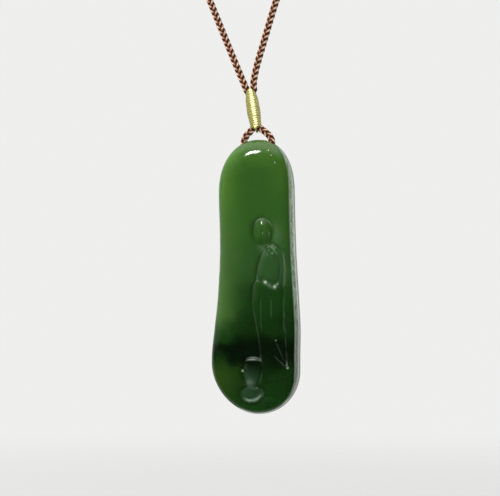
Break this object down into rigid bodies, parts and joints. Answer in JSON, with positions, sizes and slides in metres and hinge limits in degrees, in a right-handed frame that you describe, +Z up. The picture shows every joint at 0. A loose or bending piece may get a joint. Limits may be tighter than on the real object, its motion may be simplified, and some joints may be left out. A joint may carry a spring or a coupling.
{
  "type": "carved jade pendant on a cord",
  "caption": "Long polished green jade pendant carved with a standing robed monk, swinging on a thread-bound braided neck cord.",
  "frame": {"origin": "middle of the cord where it lies on the nape of the neck, the highest point of the loop", "axes": "+Z up, the stone's carved front faces -Y, +X to the right as seen from the front"},
  "size_m": [0.1217, 0.1304, 0.3233],
  "materials": {
    "jade": "polished, translucent green with a black-green band near the foot",
    "cord": "braided brown cord with a copper sheen",
    "silk_thread": "yellow-green silk thread, close wound"
  },
  "bodies": {
    "cord": {"neck_cord": "cord", "thread_whipping": "silk_thread", "loop_arm_left": "cord", "loop_arm_right": "cord"},
    "pendant": {"jade_pendant": "jade", "loop_bend": "cord"}
  },
  "joints": [
    {"name": "pendant_swing", "type": "hinge", "parent": "cord", "child": "pendant", "pos_m": [0, -0.125, -0.255], "axis": [1, 0, 0], "range_deg": [-35, 35]}
  ]
}
